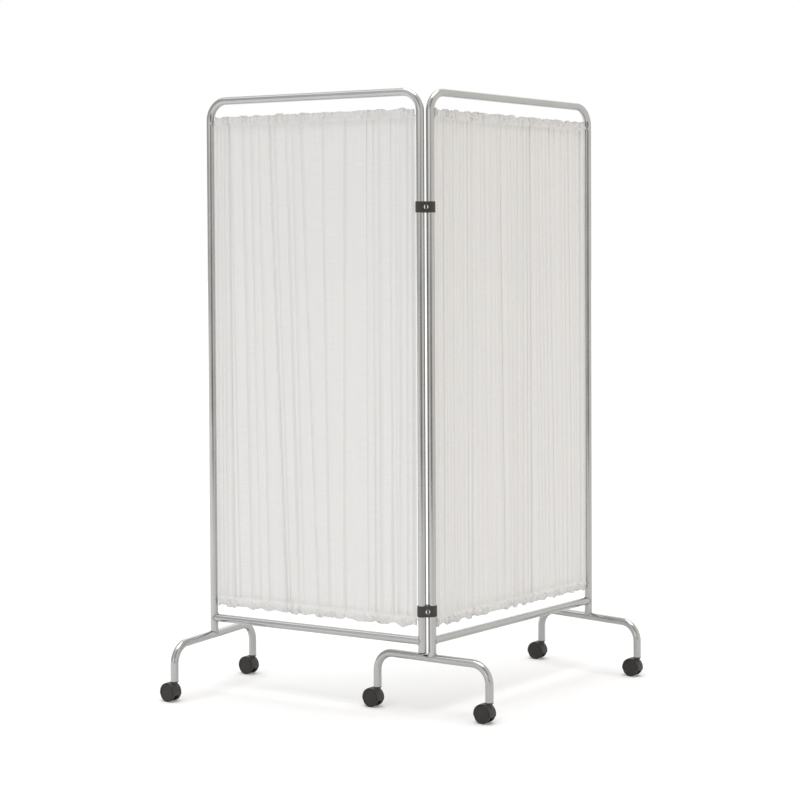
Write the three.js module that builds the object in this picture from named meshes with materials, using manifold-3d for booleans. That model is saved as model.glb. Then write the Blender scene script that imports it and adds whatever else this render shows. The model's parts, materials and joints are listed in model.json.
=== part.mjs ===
// A ward privacy screen: two bent chromed tube panels joined by two clamp hinges, with gathered
// curtains on spring wires, standing on three tube feet with six twin-wheel castors.
// Millimetres and degrees, +Z up, floor at z = 0. The hinge is at the front and the panels run back.
import * as THREE from 'three';
import { mergeVertices } from 'three/addons/utils/BufferGeometryUtils.js';
import Module from 'manifold-3d';

const wasm = await Module();
wasm.setup();

// Whole screen
const screenHeight = 1700;
const panelWidth = 700;
const foldAngle = 101.5;
const clearance = 0.3;
const cutOverrun = 6;

// Chromed tube
const tubeDiameter = 22;
const tubeWall = 1.2;
const tubeSides = 14;
const bendSteps = 5;

// Feet, each leg straight for a way above its castor
const legStraight = 46;
const footReach = 181;
const footBendRadius = 52;
const centreFootTurn = 9;

// Panel frames, the bottom rail a rise above the feet
const frameBendRadius = 55;
const railRise = 48;

// End plug of the upright that hangs above the centre foot
const plugAirGap = 3.2;
const plugHeadHeight = 3;
const plugHeadInset = 1.6;
const plugSpigotLength = 16;

// Clamp hinges, one a drop below the top and one a rise above the bottom rail
const hingeSpacing = 27;
const upperHingeDrop = 322;
const lowerHingeRise = 81;
const hingeBlockHeight = 30;
const hingeShell = 2.5;
const boltDiameter = 4;
const boltHeadDiameter = 13;
const boltHeadHeight = 2.6;
const boltRecessDepth = 1.4;
const boltSocketDiameter = 5;
const boltSocketDepth = 1.6;
const nutHeight = 4;
const nutWall = 1.2;
const hingeArcSteps = 10;

// Curtain wires, one just below the frame's bends and one a rise above the bottom rail
const wireBelowBend = 10;
const bottomWireRise = 57;
const wireDiameter = 3.2;
const wireHookBend = 3;
const wireHookDrop = 7;
const wireHookInset = 3;

// Curtains, with a frill beyond each wire
const curtainSideGap = 16.5;
const topFrill = 14;
const bottomFrill = 18;
const casingDepth = 18;
const clothHalfThickness = 0.8;
const casingHalfThickness = 3.4;
const foldDepth = 6.5;
const curtainColumns = 68;
const foldCounts = [17, 11, 25];
const foldWeightShares = [0.5, 0.3, 0.2];
const foldPhases = [0.4, 1.9, 3.1];

// Castors
const wheelDiameter = 50;
const wheelWidth = 11;
const wheelSegments = 16;
const wheelRim = 3;
const wheelFace = 2.4;
const wheelEdge = 1;
const wheelHubRadius = 6.2;
const wheelSideGap = 0.5;
const axleDiameter = 6;
const axleEndGap = 0.6;
const castorTrail = 16;
const castorHeading = -46.5;
const hoodWebWidth = 11.4;
const hoodGap = 1;
const hoodThickness = 2;
const hoodWidth = 30;
const hoodEndAngle = 12;
const hoodHubDrop = 8;
const hoodNeckRadius = 9.5;
const hoodSteps = 12;
const stemDiameter = 8;
const stemCollarDiameter = 15;
const stemCollarHeight = 1.6;
const stemGrip = 27;
const stemSeatDepth = 20;
const stemRingHeight = 2;
const stemRingProud = 0.6;
const stemTipChamfer = 1;
const socketFlangeHeight = 2.5;
const socketDepth = 32;

// Segments of the small round pieces
const roundSides = 12;
const wireSides = 8;
const hexSides = 6;

// Worked-out sizes
const tubeRadius = tubeDiameter / 2;
const boreRadius = tubeRadius - tubeWall;
const wireRadius = wireDiameter / 2;
const wheelRadius = wheelDiameter / 2;
const hoodInnerRadius = wheelRadius + hoodGap;
const hoodOuterRadius = hoodInnerRadius + hoodThickness;
const hoodTop = wheelRadius + hoodOuterRadius;
const collarBottom = hoodTop + clearance;
const flangeBottom = collarBottom + stemCollarHeight + clearance;
const legEnd = flangeBottom + socketFlangeHeight + clearance;
const footHeight = legEnd + legStraight + footBendRadius;
const railHeight = footHeight + railRise;
const topRailHeight = screenHeight - tubeRadius;
const topWireHeight = topRailHeight - frameBendRadius - wireBelowBend;
const bottomWireHeight = railHeight + bottomWireRise;
const curtainTop = topWireHeight + topFrill;
const curtainHem = bottomWireHeight - bottomFrill;
const upperHingeHeight = screenHeight - upperHingeDrop;
const lowerHingeHeight = railHeight + lowerHingeRise;
const hangingEnd = footHeight + tubeRadius + plugAirGap + plugHeadHeight + clearance;
const hingeOuterRadius = tubeRadius + hingeShell;

// Finishes
const chrome = { color: 0xc9cac8, roughness: 0.16, metalness: 1 };
const blackPlastic = { color: 0x3b3734, roughness: 0.45, metalness: 0 };
const zincSteel = { color: 0xb9bab8, roughness: 0.3, metalness: 1 };
const brightSteel = { color: 0xc7c7c5, roughness: 0.14, metalness: 1 };
const whiteVoile = { color: 0xe6e6e4, roughness: 0.9, metalness: 0 };
const whiteCord = { color: 0xdededb, roughness: 0.5, metalness: 0 };

const upAxis = new THREE.Vector3(0, 0, 1);

// Radius that a many-sided hole needs for a round piece to turn in it with the clearance
function clearHole(radius, sides) {
  return (radius + clearance) / Math.cos(Math.PI / sides);
}

// Geometry to solid and back, for cuts and joins
function toSolid(geometry) {
  const bare = geometry.clone();
  bare.deleteAttribute('normal');
  bare.deleteAttribute('uv');
  const merged = mergeVertices(bare);
  const corners = merged.index.array;
  const kept = [];
  for (let t = 0; t < corners.length; t += 3) {
    const [a, b, c] = [corners[t], corners[t + 1], corners[t + 2]];
    if (a !== b && b !== c && c !== a) kept.push(a, b, c);
  }
  const vertProperties = Float32Array.from(merged.attributes.position.array);
  const triVerts = Uint32Array.from(kept);
  return new wasm.Manifold(new wasm.Mesh({ numProp: 3, vertProperties, triVerts }));
}

function toGeometry(solid) {
  const mesh = solid.getMesh();
  const geometry = new THREE.BufferGeometry();
  geometry.setAttribute('position', new THREE.BufferAttribute(mesh.vertProperties, 3));
  geometry.setIndex(new THREE.BufferAttribute(mesh.triVerts, 1));
  return geometry;
}

function cut(geometry, cutters) {
  let solid = toSolid(geometry);
  for (const cutter of cutters) solid = solid.subtract(toSolid(cutter));
  return toGeometry(solid);
}

function join(geometries) {
  const [first, ...others] = geometries.map(toSolid);
  return toGeometry(others.reduce((whole, next) => whole.add(next), first));
}

// A named piece in its own finish
function piece(name, geometry, finish) {
  const mesh = new THREE.Mesh(geometry, new THREE.MeshStandardMaterial(finish));
  mesh.name = name;
  return mesh;
}

// A rod from one point to another
function rod(from, to, radius, sides) {
  const run = to.clone().sub(from);
  const geometry = new THREE.CylinderGeometry(radius, radius, run.length(), sides);
  const heading = run.clone().normalize();
  const turn = new THREE.Quaternion().setFromUnitVectors(new THREE.Vector3(0, 1, 0), heading);
  const middle = from.clone().lerp(to, 0.5);
  return geometry.applyQuaternion(turn).translate(middle.x, middle.y, middle.z);
}

// A turned piece: radius and height pairs, its axis standing up
function turned(profile, sides) {
  const points = profile.map(([radius, height]) => new THREE.Vector2(radius, height));
  return new THREE.LatheGeometry(points, sides).rotateX(Math.PI / 2);
}

// A pipe's centre line by stations, so that a bend has more sections than a straight
class PipeRun extends THREE.Curve {
  constructor(stations) {
    super();
    this.stations = stations;
  }

  stationAt(share) {
    return this.stations[Math.round(share * (this.stations.length - 1))];
  }

  getPointAt(share, target = new THREE.Vector3()) {
    return target.copy(this.stationAt(share).point);
  }

  getTangentAt(share, target = new THREE.Vector3()) {
    return target.copy(this.stationAt(share).heading);
  }
}

// Stations along straight runs between corners, each corner rounded to the bend radius
function bentRun(corners, bendRadius, steps) {
  const headings = corners.slice(1).map((corner, i) => corner.clone().sub(corners[i]).normalize());
  const stations = [{ point: corners[0], heading: headings[0] }];
  for (let i = 1; i < corners.length - 1; i += 1) {
    const before = headings[i - 1];
    const after = headings[i];
    const turn = before.angleTo(after);
    const inward = after.clone().addScaledVector(before, -before.dot(after)).normalize();
    const start = corners[i].clone().addScaledVector(before, -bendRadius * Math.tan(turn / 2));
    for (let k = 0; k <= steps; k += 1) {
      const angle = turn * k / steps;
      const point = start.clone().addScaledVector(before, bendRadius * Math.sin(angle));
      point.addScaledVector(inward, bendRadius * (1 - Math.cos(angle)));
      const heading = before.clone().multiplyScalar(Math.cos(angle));
      heading.addScaledVector(inward, Math.sin(angle));
      stations.push({ point, heading });
    }
  }
  stations.push({ point: corners[corners.length - 1], heading: headings[headings.length - 1] });
  return new PipeRun(stations);
}

function sweep(section, run, sides) {
  const steps = run.stations.length - 1;
  return new THREE.ExtrudeGeometry(section, { steps, extrudePath: run, curveSegments: sides / 2 });
}

function ringSection(outerRadius, innerRadius) {
  const section = new THREE.Shape().absarc(0, 0, outerRadius, 0, Math.PI * 2);
  if (innerRadius) section.holes.push(new THREE.Path().absarc(0, 0, innerRadius, 0, Math.PI * 2));
  return section;
}

function bentTube(corners, bendRadius) {
  return sweep(ringSection(tubeRadius, boreRadius), bentRun(corners, bendRadius, bendSteps), tubeSides);
}

// Cutter for a tube's end that saddles another tube
function saddle(centre, heading) {
  const reach = heading.clone().multiplyScalar(tubeDiameter + cutOverrun);
  const radius = clearHole(tubeRadius, tubeSides);
  return rod(centre.clone().sub(reach), centre.clone().add(reach), radius, tubeSides);
}

// Holes in the two uprights for the hooked ends of the curtain wires
function wireHoles() {
  const radius = clearHole(wireRadius, wireSides);
  const bite = tubeRadius + cutOverrun;
  const spans = [[0, bite], [panelWidth - bite, panelWidth]];
  return [topWireHeight, bottomWireHeight].flatMap((height) => spans.map(([from, to]) => (
    rod(new THREE.Vector3(from, 0, height), new THREE.Vector3(to, 0, height), radius, wireSides)
  )));
}

// A panel's frame: one tube, up the inner side, across the top and down the outer side.
// The inner side stands on the centre foot, or hangs just above it.
function panelFrame(innerEnd, innerFootHeading) {
  const tube = bentTube([
    new THREE.Vector3(0, 0, innerEnd),
    new THREE.Vector3(0, 0, topRailHeight),
    new THREE.Vector3(panelWidth, 0, topRailHeight),
    new THREE.Vector3(panelWidth, 0, footHeight),
  ], frameBendRadius);
  const outerFoot = saddle(new THREE.Vector3(panelWidth, 0, footHeight), new THREE.Vector3(0, 1, 0));
  const cutters = [outerFoot, ...wireHoles()];
  if (innerFootHeading) cutters.push(saddle(new THREE.Vector3(0, 0, footHeight), innerFootHeading));
  return cut(tube, cutters);
}

// The bottom rail, its ends saddled to both uprights
function bottomRail() {
  const ends = [new THREE.Vector3(0, 0, railHeight), new THREE.Vector3(panelWidth, 0, railHeight)];
  const tube = bentTube(ends, frameBendRadius);
  return cut(tube, ends.map((end) => saddle(end, upAxis)));
}

// A foot: a tube bent down to a leg at each end, standing across the X axis's middle
function foot() {
  return bentTube([
    new THREE.Vector3(-footReach, 0, legEnd),
    new THREE.Vector3(-footReach, 0, footHeight),
    new THREE.Vector3(footReach, 0, footHeight),
    new THREE.Vector3(footReach, 0, legEnd),
  ], footBendRadius);
}

// Domed plug pushed into the hanging upright's open end
function endPlug() {
  const headTop = hangingEnd - clearance;
  const headBottom = headTop - plugHeadHeight;
  const headRadius = tubeRadius - plugHeadInset;
  const spigotRadius = boreRadius - clearance;
  const domeRadiusShare = 0.6;
  return turned([
    [0, headBottom],
    [headRadius * domeRadiusShare, headBottom],
    [headRadius, headTop - plugHeadHeight / 2],
    [headRadius, headTop],
    [spigotRadius, headTop],
    [spigotRadius, headTop + plugSpigotLength],
    [0, headTop + plugSpigotLength],
  ], roundSides);
}

// A curtain wire: straight between the uprights, its ends hooked down inside them
function curtainWire(height) {
  const hookBottom = height - wireHookDrop;
  const corners = [
    new THREE.Vector3(wireHookInset, 0, hookBottom),
    new THREE.Vector3(wireHookInset, 0, height),
    new THREE.Vector3(panelWidth - wireHookInset, 0, height),
    new THREE.Vector3(panelWidth - wireHookInset, 0, hookBottom),
  ];
  const hookSteps = 3;
  return sweep(ringSection(wireRadius), bentRun(corners, wireHookBend, hookSteps), wireSides);
}

// Gathered cloth: irregular folds across the width, drawn in at the two wire casings
function foldAt(share, mirror) {
  const along = mirror ? 1 - share : share;
  return foldCounts.reduce((sum, count, i) => (
    sum + foldWeightShares[i] * Math.sin(2 * Math.PI * count * along + foldPhases[i])
  ), 0);
}

function curtain(mirror) {
  const frillShare = 0.6;
  const wireShare = 0.06;
  const drawnShare = 0.35;
  const rows = [
    { height: curtainHem, half: clothHalfThickness, share: frillShare },
    { height: bottomWireHeight, half: casingHalfThickness, share: wireShare },
    { height: bottomWireHeight + casingDepth, half: clothHalfThickness, share: drawnShare },
    { height: (topWireHeight + bottomWireHeight) / 2, half: clothHalfThickness, share: 1 },
    { height: topWireHeight - casingDepth, half: clothHalfThickness, share: drawnShare },
    { height: topWireHeight, half: casingHalfThickness, share: wireShare },
    { height: curtainTop, half: clothHalfThickness, share: frillShare },
  ];
  const width = panelWidth - 2 * curtainSideGap;
  const positions = [];
  for (let column = 0; column <= curtainColumns; column += 1) {
    const share = column / curtainColumns;
    const x = curtainSideGap + width * share;
    for (const side of [-1, 1]) {
      for (const row of rows) {
        positions.push(x, foldDepth * row.share * foldAt(share, mirror) + side * row.half, row.height);
      }
    }
  }
  // Each column is a loop: up the front face and down the back one
  const loopSize = rows.length * 2;
  const loopOrder = [...rows.keys(), ...[...rows.keys()].reverse().map((k) => k + rows.length)];
  const corner = (column, k) => column * loopSize + loopOrder[k % loopSize];
  const indices = [];
  for (let column = 0; column < curtainColumns; column += 1) {
    for (let k = 0; k < loopSize; k += 1) {
      const [a, b] = [corner(column, k), corner(column, k + 1)];
      const [c, d] = [corner(column + 1, k), corner(column + 1, k + 1)];
      indices.push(a, c, b, b, c, d);
    }
  }
  for (let k = 0; k < rows.length - 1; k += 1) {
    const back = loopSize - 1 - k;
    const near = [k, k + 1, back - 1, back].map((at) => corner(0, at));
    const far = [k, k + 1, back - 1, back].map((at) => corner(curtainColumns, at));
    indices.push(near[0], near[1], near[2], near[0], near[2], near[3]);
    indices.push(far[0], far[2], far[1], far[0], far[3], far[2]);
  }
  const cloth = new THREE.BufferGeometry();
  cloth.setAttribute('position', new THREE.Float32BufferAttribute(positions, 3));
  cloth.setIndex(indices);
  const radius = clearHole(wireRadius, wireSides);
  const casings = [topWireHeight, bottomWireHeight].map((height) => rod(
    new THREE.Vector3(0, 0, height),
    new THREE.Vector3(panelWidth, 0, height),
    radius,
    wireSides,
  ));
  return cut(cloth, casings);
}

// Half of a clamp hinge: a shell round both uprights, split between them and bolted together.
// The front half lies on the -Y side.
function hingeHalf(front) {
  const halfSpacing = hingeSpacing / 2;
  const splitGap = clearance / 2;
  const grooveRadius = clearHole(tubeRadius, 2 * hingeArcSteps);
  const grooveHalf = Math.sqrt(grooveRadius ** 2 - splitGap ** 2);
  const shellHalf = Math.sqrt(hingeOuterRadius ** 2 - splitGap ** 2);
  const grooveTilt = Math.asin(splitGap / grooveRadius);
  const shellTilt = Math.asin(splitGap / hingeOuterRadius);
  const outline = new THREE.Shape();
  outline.moveTo(-halfSpacing - shellHalf, splitGap);
  outline.lineTo(-halfSpacing - grooveHalf, splitGap);
  outline.absarc(-halfSpacing, 0, grooveRadius, Math.PI - grooveTilt, grooveTilt, true);
  outline.lineTo(halfSpacing - grooveHalf, splitGap);
  outline.absarc(halfSpacing, 0, grooveRadius, Math.PI - grooveTilt, grooveTilt, true);
  outline.lineTo(halfSpacing + shellHalf, splitGap);
  outline.absarc(halfSpacing, 0, hingeOuterRadius, shellTilt, Math.PI / 2, false);
  outline.lineTo(-halfSpacing, hingeOuterRadius);
  outline.absarc(-halfSpacing, 0, hingeOuterRadius, Math.PI / 2, Math.PI - shellTilt, false);
  const half = new THREE.ExtrudeGeometry(outline, {
    depth: hingeBlockHeight,
    bevelEnabled: false,
    curveSegments: hingeArcSteps / 2,
  });
  half.translate(0, 0, -hingeBlockHeight / 2);
  const middle = new THREE.Vector3(0, 0, 0);
  const outside = new THREE.Vector3(0, hingeOuterRadius + cutOverrun, 0);
  const recessFloor = new THREE.Vector3(0, hingeOuterRadius - boltRecessDepth, 0);
  const recessRadius = clearHole(boltHeadDiameter / 2, roundSides);
  const cutHalf = cut(half, [
    rod(middle, outside, clearHole(boltDiameter / 2, roundSides), roundSides),
    rod(recessFloor, outside, recessRadius, roundSides),
  ]);
  return front ? cutHalf.rotateZ(Math.PI) : cutHalf;
}

// Domed hinge bolt, head at the front with a socket for the key
function hingeBolt() {
  const seat = hingeOuterRadius - boltRecessDepth + clearance;
  const headTop = seat + boltHeadHeight;
  const headRadius = boltHeadDiameter / 2;
  const crownShare = 0.62;
  const rimShare = 0.5;
  const shankEnd = -hingeOuterRadius + boltRecessDepth - nutHeight + nutWall + 2 * clearance;
  const blank = turned([
    [0, shankEnd],
    [boltDiameter / 2, shankEnd],
    [boltDiameter / 2, seat],
    [headRadius, seat],
    [headRadius, seat + boltHeadHeight * rimShare],
    [headRadius * crownShare, headTop],
    [0, headTop],
  ], roundSides);
  const key = rod(
    new THREE.Vector3(0, 0, headTop - boltSocketDepth),
    new THREE.Vector3(0, 0, headTop + cutOverrun),
    boltSocketDiameter / 2,
    hexSides,
  );
  return cut(blank, [key]).rotateX(Math.PI / 2);
}

// Cap nut on the hinge bolt, at the back
function hingeNut() {
  const seat = hingeOuterRadius - boltRecessDepth + clearance;
  const boreEnd = seat + nutHeight - nutWall;
  const nutRadius = boltHeadDiameter / 2;
  const crownShare = 0.7;
  const holeRadius = clearHole(boltDiameter / 2, roundSides);
  return turned([
    [0, boreEnd],
    [holeRadius, boreEnd],
    [holeRadius, seat],
    [nutRadius, seat],
    [nutRadius, seat + nutHeight / 2],
    [nutRadius * crownShare, seat + nutHeight],
    [0, seat + nutHeight],
  ], roundSides).rotateX(-Math.PI / 2);
}

// Castor pieces stand with the stem on the Z axis and the wheels trailing towards -X
function castorSocket() {
  const flangeTop = flangeBottom + socketFlangeHeight;
  const holeRadius = clearHole(stemDiameter / 2 + stemRingProud, roundSides);
  const top = flangeTop + socketDepth;
  return turned([
    [holeRadius, flangeBottom],
    [tubeRadius, flangeBottom],
    [tubeRadius, flangeTop],
    [boreRadius - clearance, flangeTop],
    [boreRadius - clearance, top],
    [holeRadius, top],
    [holeRadius, flangeBottom],
  ], roundSides);
}

function castorStem() {
  const radius = stemDiameter / 2;
  const collarTop = collarBottom + stemCollarHeight;
  const tip = collarTop + stemGrip;
  const ringTop = tip - stemRingHeight;
  const ringBottom = ringTop - stemRingHeight;
  return turned([
    [0, hoodTop - stemSeatDepth + clearance],
    [radius, hoodTop - stemSeatDepth + clearance],
    [radius, collarBottom],
    [stemCollarDiameter / 2, collarBottom],
    [stemCollarDiameter / 2, collarTop],
    [radius, collarTop],
    [radius, ringBottom],
    [radius + stemRingProud, ringTop - stemRingHeight / 2],
    [radius, ringTop],
    [radius - stemTipChamfer, tip],
    [0, tip],
  ], roundSides);
}

// The hood: a web between the wheels, a fender over them and a neck for the stem.
// Its side view turns about the axle, which lies along Y.
function castorHood() {
  const startAngle = THREE.MathUtils.degToRad(-hoodEndAngle);
  const endAngle = Math.PI - startAngle;
  const side = new THREE.Shape();
  side.absarc(0, 0, hoodOuterRadius, startAngle, endAngle, false);
  side.lineTo(0, -hoodHubDrop);
  const body = new THREE.ExtrudeGeometry(side, {
    depth: hoodWidth,
    bevelEnabled: false,
    curveSegments: hoodSteps / 2,
  });
  body.translate(0, 0, -hoodWidth / 2).rotateX(Math.PI / 2).translate(-castorTrail, 0, wheelRadius);
  const neckTop = new THREE.Vector3(0, 0, hoodTop);
  const neck = rod(new THREE.Vector3(0, 0, wheelRadius), neckTop, hoodNeckRadius, roundSides);
  const wells = [-1, 1].map((hand) => rod(
    new THREE.Vector3(-castorTrail, hand * hoodWebWidth / 2, wheelRadius),
    new THREE.Vector3(-castorTrail, hand * (hoodWidth + cutOverrun), wheelRadius),
    hoodInnerRadius / Math.cos(Math.PI / (2 * hoodSteps)),
    2 * hoodSteps,
  ));
  const axleHole = rod(
    new THREE.Vector3(-castorTrail, -hoodWidth, wheelRadius),
    new THREE.Vector3(-castorTrail, hoodWidth, wheelRadius),
    clearHole(axleDiameter / 2, roundSides),
    roundSides,
  );
  const stemHole = rod(
    new THREE.Vector3(0, 0, hoodTop - stemSeatDepth),
    new THREE.Vector3(0, 0, hoodTop + cutOverrun),
    clearHole(stemDiameter / 2, roundSides),
    roundSides,
  );
  return cut(join([body, neck]), [...wells, axleHole, stemHole]);
}

function castorAxle() {
  const half = hoodWebWidth / 2 + wheelSideGap + wheelWidth - wheelFace - axleEndGap;
  return rod(
    new THREE.Vector3(-castorTrail, -half, wheelRadius),
    new THREE.Vector3(-castorTrail, half, wheelRadius),
    axleDiameter / 2,
    roundSides,
  );
}

// One wheel: a hollow rim and hub closed by an outer face, with a flat of its tread on the floor
function castorWheel(hand) {
  const halfStep = Math.PI / wheelSegments;
  const outer = wheelRadius / Math.cos(halfStep);
  const holeRadius = clearHole(axleDiameter / 2, wheelSegments);
  const faceInside = wheelWidth - wheelFace;
  const profile = [
    [0, faceInside],
    [holeRadius, faceInside],
    [holeRadius, 0],
    [wheelHubRadius, 0],
    [wheelHubRadius, faceInside],
    [outer - wheelRim, faceInside],
    [outer - wheelRim, 0],
    [outer, 0],
    [outer, wheelWidth - wheelEdge],
    [outer - wheelEdge, wheelWidth],
    [0, wheelWidth],
  ].map(([radius, depth]) => new THREE.Vector2(radius, depth));
  const wheel = new THREE.LatheGeometry(profile, wheelSegments, halfStep);
  if (hand < 0) wheel.rotateX(Math.PI);
  const inside = hand * (hoodWebWidth / 2 + wheelSideGap);
  return wheel.translate(-castorTrail, inside, wheelRadius);
}

function castor(name) {
  const group = new THREE.Group();
  group.add(piece(`${name}_socket`, castorSocket(), blackPlastic));
  const swivel = new THREE.Group();
  swivel.rotation.z = THREE.MathUtils.degToRad(castorHeading);
  swivel.add(piece(`${name}_stem`, castorStem(), zincSteel));
  swivel.add(piece(`${name}_hood`, castorHood(), blackPlastic));
  swivel.add(piece(`${name}_axle`, castorAxle(), zincSteel));
  swivel.add(piece(`${name}_left_wheel`, castorWheel(1), blackPlastic));
  swivel.add(piece(`${name}_right_wheel`, castorWheel(-1), blackPlastic));
  group.add(swivel);
  return group;
}

// A foot with a castor under each leg; heading is the foot's direction seen from above
function footOnCastors(name, ends, place, heading) {
  const group = new THREE.Group();
  const turn = THREE.MathUtils.degToRad(heading);
  const crosspiece = piece(`${name}_foot`, foot(), chrome);
  crosspiece.position.copy(place);
  crosspiece.rotation.z = turn;
  group.add(crosspiece);
  ends.forEach((end, i) => {
    const reach = i === 0 ? -footReach : footReach;
    const wheelSet = castor(`${name}_${end}_castor`);
    wheelSet.position.set(place.x + reach * Math.cos(turn), place.y + reach * Math.sin(turn), 0);
    group.add(wheelSet);
  });
  return group;
}

// A panel seen along its own X axis, from the hinge side outwards
function panel(name, place, heading, frame, mirror) {
  const group = new THREE.Group();
  group.position.copy(place);
  group.rotation.z = THREE.MathUtils.degToRad(heading);
  group.add(piece(`${name}_frame`, frame, chrome));
  group.add(piece(`${name}_bottom_rail`, bottomRail(), chrome));
  group.add(piece(`${name}_top_wire`, curtainWire(topWireHeight), whiteCord));
  group.add(piece(`${name}_bottom_wire`, curtainWire(bottomWireHeight), whiteCord));
  group.add(piece(`${name}_curtain`, curtain(mirror), whiteVoile));
  return group;
}

function hinge(name, height) {
  const group = new THREE.Group();
  group.position.z = height;
  group.add(piece(`${name}_hinge_front`, hingeHalf(true), blackPlastic));
  group.add(piece(`${name}_hinge_back`, hingeHalf(false), blackPlastic));
  group.add(piece(`${name}_hinge_bolt`, hingeBolt(), brightSteel));
  group.add(piece(`${name}_hinge_nut`, hingeNut(), brightSteel));
  return group;
}

// The screen as it stands, folded evenly about the YZ plane
const rightHeading = 90 - foldAngle / 2;
const leftHeading = 90 + foldAngle / 2;
const rightInner = new THREE.Vector3(hingeSpacing / 2, 0, 0);
const leftInner = new THREE.Vector3(-hingeSpacing / 2, 0, 0);

function outerEnd(inner, heading) {
  const angle = THREE.MathUtils.degToRad(heading);
  return new THREE.Vector3(Math.cos(angle), Math.sin(angle), 0).multiplyScalar(panelWidth).add(inner);
}

const screen = new THREE.Group();
const centreFootLocal = THREE.MathUtils.degToRad(centreFootTurn - 90);
const centreFootAlong = new THREE.Vector3(Math.cos(centreFootLocal), Math.sin(centreFootLocal), 0);
screen.add(panel('right', rightInner, rightHeading, panelFrame(footHeight, centreFootAlong), false));
screen.add(panel('left', leftInner, leftHeading, panelFrame(hangingEnd), true));
const plug = piece('left_end_plug', endPlug(), blackPlastic);
plug.position.copy(leftInner);
screen.add(plug);
const rightOuter = outerEnd(rightInner, rightHeading);
const leftOuter = outerEnd(leftInner, leftHeading);
screen.add(footOnCastors('centre', ['left', 'right'], rightInner, rightHeading - 90 + centreFootTurn));
screen.add(footOnCastors('right', ['back', 'front'], rightOuter, rightHeading - 90));
screen.add(footOnCastors('left', ['front', 'back'], leftOuter, leftHeading - 90));
screen.add(hinge('upper', upperHingeHeight), hinge('lower', lowerHingeHeight));

// The origin is on the floor, in the middle of the space that the screen stands on
const footprint = new THREE.Box3().setFromObject(screen, true);
const middle = footprint.getCenter(new THREE.Vector3());
screen.position.set(-middle.x, -middle.y, -footprint.min.z);

export default screen;
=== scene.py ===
import json
import math

import bmesh
import bpy
import numpy as np
from mathutils import Matrix, Vector

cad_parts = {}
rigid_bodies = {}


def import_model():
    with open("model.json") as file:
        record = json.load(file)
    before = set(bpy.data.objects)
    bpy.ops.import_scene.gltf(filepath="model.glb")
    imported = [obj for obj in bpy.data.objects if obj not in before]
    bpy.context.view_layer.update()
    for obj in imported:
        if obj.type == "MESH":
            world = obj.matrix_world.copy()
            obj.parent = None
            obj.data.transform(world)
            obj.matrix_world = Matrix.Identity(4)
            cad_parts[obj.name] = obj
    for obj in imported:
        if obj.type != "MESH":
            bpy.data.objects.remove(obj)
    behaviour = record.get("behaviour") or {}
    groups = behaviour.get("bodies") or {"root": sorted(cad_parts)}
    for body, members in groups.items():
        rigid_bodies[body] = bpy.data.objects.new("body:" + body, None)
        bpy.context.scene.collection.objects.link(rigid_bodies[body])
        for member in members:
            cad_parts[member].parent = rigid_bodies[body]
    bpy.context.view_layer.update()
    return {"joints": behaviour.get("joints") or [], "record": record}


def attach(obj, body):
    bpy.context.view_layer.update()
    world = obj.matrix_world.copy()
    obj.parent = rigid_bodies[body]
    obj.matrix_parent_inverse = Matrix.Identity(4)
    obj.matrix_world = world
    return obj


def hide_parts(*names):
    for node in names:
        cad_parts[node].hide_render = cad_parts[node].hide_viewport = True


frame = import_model()

# Sizes are in metres, and heights are above the floor

# Tubes
tube_radius = 0.011
tube_wall = 0.0012
tube_sides = 56
bend_steps = 14
panel_width = 0.7
top_rail_height = 1.689
rail_height = 0.204
foot_height = 0.156
frame_bend = 0.055
foot_bend = 0.052
leg_end = 0.058
hanging_end = 0.1735
cap_sides = 40

# Weld beads
bead_radius = 0.0016
bead_sides = 10
bead_steps = 112
bead_soften = 0.0018
bead_ripples = 23
bead_ripple_share = 0.16
bead_wander_share = 0.1
bead_wander_turns = 3.1
bead_wander_shift = 40

# Clamp hinges
hinge_heights = {"upper": 1.378, "lower": 0.285}
hinge_block_height = 0.03
hinge_outer = 0.0135
hinge_groove = 0.0113
hinge_split = 0.00015
hinge_edge = 0.0009
hinge_bend_steps = 12
hinge_groove_steps = 36
bolt_head_radius = 0.0065
bolt_recess = 0.0014
bolt_recess_radius = 0.0074
bolt_lift = 0.0003
bolt_seat = hinge_outer - bolt_recess + bolt_lift
bolt_dome = 0.0028
bolt_slot_width = 0.0058
bolt_slot_depth = 0.0019
# Painted shade in the hinge bolts' slots: a dark sheet, its depth and its share of the head's radius
slot_shade_depth = 0.0004
slot_shade_share = 0.9
cutter_depth = 0.01
bolt_sides = 40
recess_sides = 48

# Curtain wires and cloth
top_wire_height = 1.624
bottom_wire_height = 0.261
wire_radius = 0.0016
wire_inset = 0.003
wire_hook = 0.007
wire_sides = 16
wire_bend_steps = 6
wire_screw_lift = 0.0009
wire_screw_sides = 28
wire_screw_azimuth = {"right": -86, "left": -94}

cloth_inner_gap = 0.0150
cloth_outer_gap = 0.0128
layer_gap = 0.0003

# Castors
wheel_radius = 0.025
castor_trail = 0.016
hood_half_web = 0.0057
hood_half_width = 0.015
hood_inner = 0.026
hood_outer = 0.028
hood_top = 0.053
hood_end_angle = 12
web_drop = 0.0065
web_edge = 0.0006
web_overlap = 0.0005
web_sides = 64
fender_edge = 0.0009
fender_crown = 0.0004
fender_steps = 44
fairing_seat = 0.0078
fairing_step = 0.0007
fairing_spread = 0.0124
fairing_lean = 0.0022
fairing_levels = 9
fairing_flare = 2.8
fairing_slope = 1.2
fairing_drop = 0.0004
fairing_sink = 0.0006
fairing_least_square = 0.00002
fairing_sides = 56
wheel_side_gap = 0.0005
collar_bottom = 0.0533
flange_bottom = 0.0552
flange_top = 0.0577
socket_sides = 48
stem_sides = 36
wheel_sides = 64

up = Vector((0, 0, 1))
joints = {joint["name"]: joint for joint in frame["joints"]}


def joint_place(name):
    return Vector(joints[name]["pos_m"])


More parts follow.
